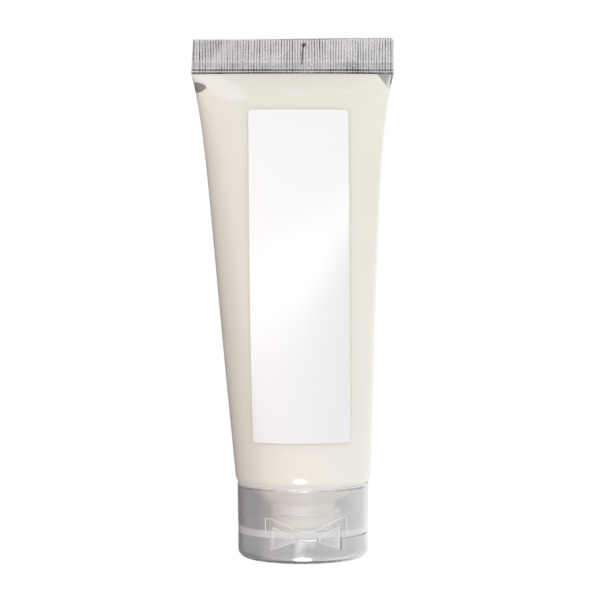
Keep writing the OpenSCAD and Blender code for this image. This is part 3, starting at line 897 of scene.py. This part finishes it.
# A rod of painted highlight along the cap's rounded rim, a pale line below the sleeve
RIM_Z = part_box("cap_base")[1][2] / MM
RIM_EDGE_R = 0.17
RIM_PROUD = 0.02
rim_path = circle(CAP_R - RIM_EDGE_R + RIM_PROUD, RIM_Z - RIM_EDGE_R)
rim = solid("rim_edge_highlight", [ring_skin(rim_path, RIM_EDGE_R)], [edge_highlight_pp], 60.0)
clear_to_light(rim)
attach(rim, "cap")

# Hinge wings
# Two triangular wings of the same moulding, joined to base and lid by film hinges along their slanting
# edges. Their rims are thicker than the web between them. A third film hinge lies between them.
WING_IN = Vector((3.0, -15.869))
WING_OUT = Vector((8.5, -13.732))
WING_IN_HALF = 0.5
WING_OUT_HALF = 2.65
WING_HALF = 0.25
WEB_HALF = 0.15
RIM_TO_WEB = (0.35, 0.75)
RIM_HIGHLIGHT_SPAN = (0.1, 0.32)
WING_STEPS = 36


def wing_half(edge):
    """Half thickness of a wing at a distance from its edge: a rounded rim, then the web."""
    rim = WING_HALF * math.sqrt(max(0.0, 1 - (1 - min(edge, WING_HALF) / WING_HALF) ** 2))
    return min(rim, WEB_HALF + (WING_HALF - WEB_HALF) * (1 - smooth_step(*RIM_TO_WEB, edge)))


def wing_skin(side):
    """A wing's skin at the right (1) or the left (-1) of the hinge, and how near each point is to the rim,
    for the painted highlight along it.
    """
    along = (WING_OUT - WING_IN).normalized()
    length = (WING_OUT - WING_IN).length
    slope = (WING_OUT_HALF - WING_IN_HALF) / length
    lean_out = math.sqrt(1 + slope**2)
    spread = [0.5 - 0.5 * math.cos(math.pi * k / WING_STEPS) for k in range(WING_STEPS + 1)]
    sheets, rim_highlights = [], []
    for face in (1, -1):
        sheet = []
        for u in spread:
            reach = u * length
            half = WING_IN_HALF + slope * reach + WING_HALF * lean_out
            for v in spread:
                height = (2 * v - 1) * half
                edge = min(reach, length - reach, (half - abs(height)) / lean_out)
                off = face * wing_half(edge)
                spot = WING_IN + along * reach + Vector((along.y, -along.x)) * off
                spot = CAP_TURN @ Vector((side * spot.x, spot.y))
                sheet.append((spot.x, spot.y, PARTING_Z + height))
                rim_highlights.append(1 - smooth_step(*RIM_HIGHLIGHT_SPAN, edge))
        sheets.append(sheet)
    count = WING_STEPS + 1
    faces = []
    for start in (0, count * count):
        for i in range(WING_STEPS):
            for j in range(WING_STEPS):
                k = start + i * count + j
                faces.append((k, k + 1, k + count + 1, k + count))
    border = [k for k in range(WING_STEPS)] + [k * count + WING_STEPS for k in range(WING_STEPS)]
    border += [WING_STEPS * count + WING_STEPS - k for k in range(WING_STEPS)]
    border += [(WING_STEPS - k) * count for k in range(WING_STEPS)]
    back = count * count
    faces += [(p, q, q + back, p + back) for p, q in zip(border, border[1:] + border[:1])]
    return (sheets[0] + sheets[1], faces), rim_highlights


# Bending has whitened the thin PP a little, so the wings look whiter than the cap's walls. Near their rims
# they let less light through and look whiter still: a painted highlight along each rim
bent_pp_rim_highlight, tree = new_material("flexed_pp_painted_rim_highlight")
stress = grain(tree, 900.0, 3.0)
pale = ramp(tree, stress, "#e4e4e6", "#fafafa")
surface(
    tree,
    [
        ("Base Color", pale.outputs["Color"]),
        # Painted highlight: less transmission, so whiter, near each rim
        ("Transmission Weight", remap(tree, attribute(tree, "rim"), 0.0, 1.0, 0.86, 0.40)),
        ("Normal", relief(tree, stress, 0.15, 0.03)),
    ],
    Roughness=0.18,
    IOR=1.49,
    Coat_Weight=1.0,
    Coat_Roughness=0.04,
)

# The glint of the film hinge between the wings, on the parting line
GLINT_R = 0.09
GLINT_START_X = -0.6
GLINT_STEP = 0.1
GLINT_STEPS = 30
GLINT_INSET = 0.62
glint_line = [Vector((GLINT_STEP * k + GLINT_START_X, -CAP_R + GLINT_INSET)) for k in range(GLINT_STEPS + 1)]
glint_path = [(*(CAP_TURN @ spot), PARTING_Z) for spot in glint_line]
glint = solid("film_hinge_glint", [rod_skin(glint_path, GLINT_R)], [edge_highlight_pp], 60.0)
clear_to_light(glint)
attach(glint, "cap")

# Each wing turns on the base and follows the lid
for side, node, name, body in (
    (-1, "hinge_wing_left", "left_hinge_wing", "wing_left"),
    (1, "hinge_wing_right", "right_hinge_wing", "wing_right"),
):
    wing, rim_highlights = wing_skin(side)
    piece = solid(name, [wing], [bent_pp_rim_highlight], 60.0)
    # How near each point is to the rim, for the painted highlight
    piece.data.attributes.new("rim", "FLOAT", "POINT").data.foreach_set("value", rim_highlights)
    clear_to_light(piece)
    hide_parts(node)
    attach(piece, body)

# Label
# White polypropylene film under a gloss varnish, die-cut with rounded corners and stuck to the sleeve's
# front. It is blank.
LABEL_WIDTH = 26.4
LABEL_LIFT = 8.7
LABEL_DROP = 10.0
LABEL_HEIGHT = SLEEVE_LENGTH - LABEL_LIFT - LABEL_DROP
LABEL_LEFT = 0.3
LABEL_LEAN = 0.85
LABEL_TAPER = 0.8
LABEL_CORNER_R = 0.9
LABEL_FACE = 0.16
LABEL_ROOT = -0.02
LABEL_COLUMNS = 60
LABEL_ROWS = 120
LABEL_CORNER_STEPS = 8
ARC_STEPS = 32


def arc_foot(s, a, b):
    """Distance sideways from an oval's front to the point at arc length s along it."""
    x = 0.0
    for _ in range(ARC_STEPS):
        slope = b * x / (a * a * math.sqrt(1 - x * x / (a * a)))
        x += s / ARC_STEPS / math.sqrt(1 + slope * slope)
    return x


def label_point(s, t, off):
    """A point of the label at arc length s, standing off the sleeve by off."""
    a, b = half_width(t), half_depth(t)
    x = arc_foot(s, a, b)
    y = -(b + off) * math.sqrt(1 - x * x / (a * a))
    return (lean(t) + x * (a + off) / a, y, CORNER_Z + t * SLEEVE_LENGTH)


def label_ring(height):
    """The label's section at a height above its lower edge: along its face, and back along its root."""
    t = (LABEL_LIFT + height) / SLEEVE_LENGTH
    centre = -LABEL_LEFT - LABEL_LEAN * height / LABEL_HEIGHT - lean(t)
    near = min(height, LABEL_HEIGHT - height)
    short = max(0.0, LABEL_CORNER_R - near)
    corner = LABEL_CORNER_R - math.sqrt(max(0.0, LABEL_CORNER_R**2 - short**2))
    half = (LABEL_WIDTH - LABEL_TAPER * height / LABEL_HEIGHT) / 2 - corner
    shares = [2 * k / LABEL_COLUMNS - 1 for k in range(LABEL_COLUMNS + 1)]
    face = [label_point(centre + half * share, t, LABEL_FACE) for share in shares]
    root = [label_point(centre + half * share, t, LABEL_ROOT) for share in shares[::-1]]
    return face + root


# Varnish over white film: IOR 1.5, almost smooth, with the faint unevenness of a label on soft film
varnished, tree = new_material("gloss_varnished_pp_label")
white = ramp(tree, grain(tree, 1500.0, 2.0), "#e5e5e6", "#e8e8e8")
surface(
    tree,
    [("Base Color", white.outputs["Color"]), ("Normal", relief(tree, grain(tree, 90.0, 1.0), 0.05, 0.1))],
    Roughness=0.16,
    IOR=1.5,
)

# Rows close together at the corners, and even ones between
corner_heights = [
    LABEL_CORNER_R * (1 - math.cos(math.pi / 2 * k / LABEL_CORNER_STEPS)) for k in range(LABEL_CORNER_STEPS)
]
row_heights = [
    LABEL_CORNER_R + (LABEL_HEIGHT - 2 * LABEL_CORNER_R) * k / LABEL_ROWS for k in range(LABEL_ROWS + 1)
]
heights = corner_heights + row_heights + [LABEL_HEIGHT - h for h in corner_heights[::-1]]
label = solid("front_label", [skin([label_ring(h) for h in heights])], [varnished])
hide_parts("label")
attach(label, "tube")

# Each lamp lights only the pieces on which the photo shows its reflection
for name, lights, receivers in (
    ("lit_from_front", (long_lamp, upper_box, label_fill), [label]),
    ("lit_by_lower_lamp", (lower_lamp,), [sleeve]),
    ("lit_by_lid_lamp", (lid_lamp,), cap_pieces),
):
    group = bpy.data.collections.new(name)
    for piece in receivers:
        group.objects.link(piece)
    for light in lights:
        light.light_linking.receiver_collection = group

# Cream
# A thick off-white lotion, poured in through the open tail. It wets the film all the way round but for two
# air pockets in the upper corners, and fills the neck and the cap's bore.
FILM_OVERLAP = 0.12
WETTED = SLEEVE_WALL - FILM_OVERLAP
CREAM_GAP = 0.05
BORE_R = 2.3
PLUG_TOP_Z = 4.325
AIR_RIGHT_HEIGHT = 4.1
AIR_RIGHT_X = 22.3
AIR_SLOPE = 0.75
BUBBLE_DROP = 3.6
BUBBLE_HALF = 1.35
BUBBLE_REACH = 3.1
PALE_FOOT = 5.0
PALE_TOP = 20.0


def cream_ring(t):
    """One section of the cream, with the air pockets taken off."""
    z = CORNER_Z + t * SLEEVE_LENGTH
    s = (z - (BEAD_Z - BUBBLE_DROP)) / BUBBLE_HALF
    left = lean(t) - half_width(t)
    if abs(s) < 1:
        left += BUBBLE_REACH * math.sqrt(1 - s * s)
    right = AIR_RIGHT_X - AIR_SLOPE * max(0.0, z - (BEAD_Z - AIR_RIGHT_HEIGHT))
    return [(min(max(x, left), right), y, z) for x, y, z in sleeve_ring(t, WETTED)]


# The lotion scatters light just under its surface, so shadows on it are soft and warm. Towards the bottom of
# the sleeve it is made paler
lotion, tree = new_material("off_white_lotion")
tint = ramp(tree, grain(tree, 45.0, 2.0), "#e5e3d8", "#e8e6dc")
tint.color_ramp.elements[0].position = 0.3
tint.color_ramp.elements[1].position = 0.7
# Paler on the corner's facet, and in two painted highlights
patched = mix(tree, attribute(tree, "pale_facet_and_highlights"), tint.outputs["Color"], "#edebe7")
pale_from, pale_to = (CORNER_Z + PALE_TOP) * MM, (CORNER_Z + PALE_FOOT) * MM
toward_foot = remap(tree, height_on_piece(tree), pale_from, pale_to, 0.0, 1.0)
surface(
    tree,
    [("Base Color", mix(tree, toward_foot, patched, "#e9e5dd"))],
    Roughness=0.4,
    IOR=1.4,
    Specular_IOR_Level=0.1,
    Subsurface_Weight=0.35,
    Subsurface_Radius=(0.004, 0.0032, 0.0024),
    Subsurface_Scale=1.0,
)

# The lotion is made paler on a facet of the folded corner, given by its corners (x, z), and in two small
# spots of painted highlight near the tail, given by centre and half sizes
PALE_FACET = (
    (-27.5, 124.8),
    (-26.0, 122.4),
    (-23.1, 119.6),
    (-17.4, 116.8),
    (-13.6, 118.0),
    (-14.0, 119.6),
    (-21.0, 124.8),
)
HIGHLIGHT_SPOTS = ((-1.6, 119.7, 4.6, 1.2), (11.0, 119.9, 2.8, 0.9))
FACET_EDGE = (-0.8, 0.5)
SPOT_EDGE = (0.4, 1.2)
SPOT_STRENGTH = 0.5


def paleness(x, y, z):
    """How much paler the lotion is made, from 0 to 1: on the corner's facet, and in the two painted
    highlights.
    """
    if y > 0:
        return 0.0
    outside = max(
        ((z1 - z0) * (x - x0) - (x1 - x0) * (z - z0)) / math.hypot(x1 - x0, z1 - z0)
        for (x0, z0), (x1, z1) in zip(PALE_FACET, PALE_FACET[1:] + PALE_FACET[:1])
    )
    facet = 1 - smooth_step(*FACET_EDGE, outside)
    spots = [
        SPOT_STRENGTH * (1 - smooth_step(*SPOT_EDGE, math.hypot((x - px) / half_x, (z - pz) / half_z)))
        for px, pz, half_x, half_z in HIGHLIGHT_SPOTS
    ]
    return max(facet, *spots)


# From the plug up: the cap's bore, the outlet, the neck, and the head's slope
column = [
    (BORE_R - CREAM_GAP, PLUG_TOP_Z + 2 * CREAM_GAP),
    (BORE_R - CREAM_GAP, NECK_END_Z),
    (OUTLET_R - CREAM_GAP, NECK_END_Z),
    (OUTLET_R - CREAM_GAP, NECK_END_Z + OUTLET_WALL + CREAM_GAP),
    (inner_neck_r - CREAM_GAP, NECK_END_Z + OUTLET_WALL + CREAM_GAP),
    (inner_neck_r - CREAM_GAP, inner_root_z + CREAM_GAP),
]
cream_rings = [circle(r, z) for r, z in column]
cream_rings += [corner_ring(0, WETTED + SHOULDER_WALL / 2)]
cream_rings += [corner_ring(k / CORNER_ROWS, WETTED) for k in range(CORNER_ROWS + 1)]
cream_rings += [cream_ring(row_share(k)) for k in range(1, LAST_INSIDE_ROW + 1)]
cream = solid("cream_fill", [skin(cream_rings)], [lotion])
# Paler on the corner's facet, and in two spots of painted highlight
mark(cream, "pale_facet_and_highlights", paleness)
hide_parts("cream")
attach(cream, "tube")
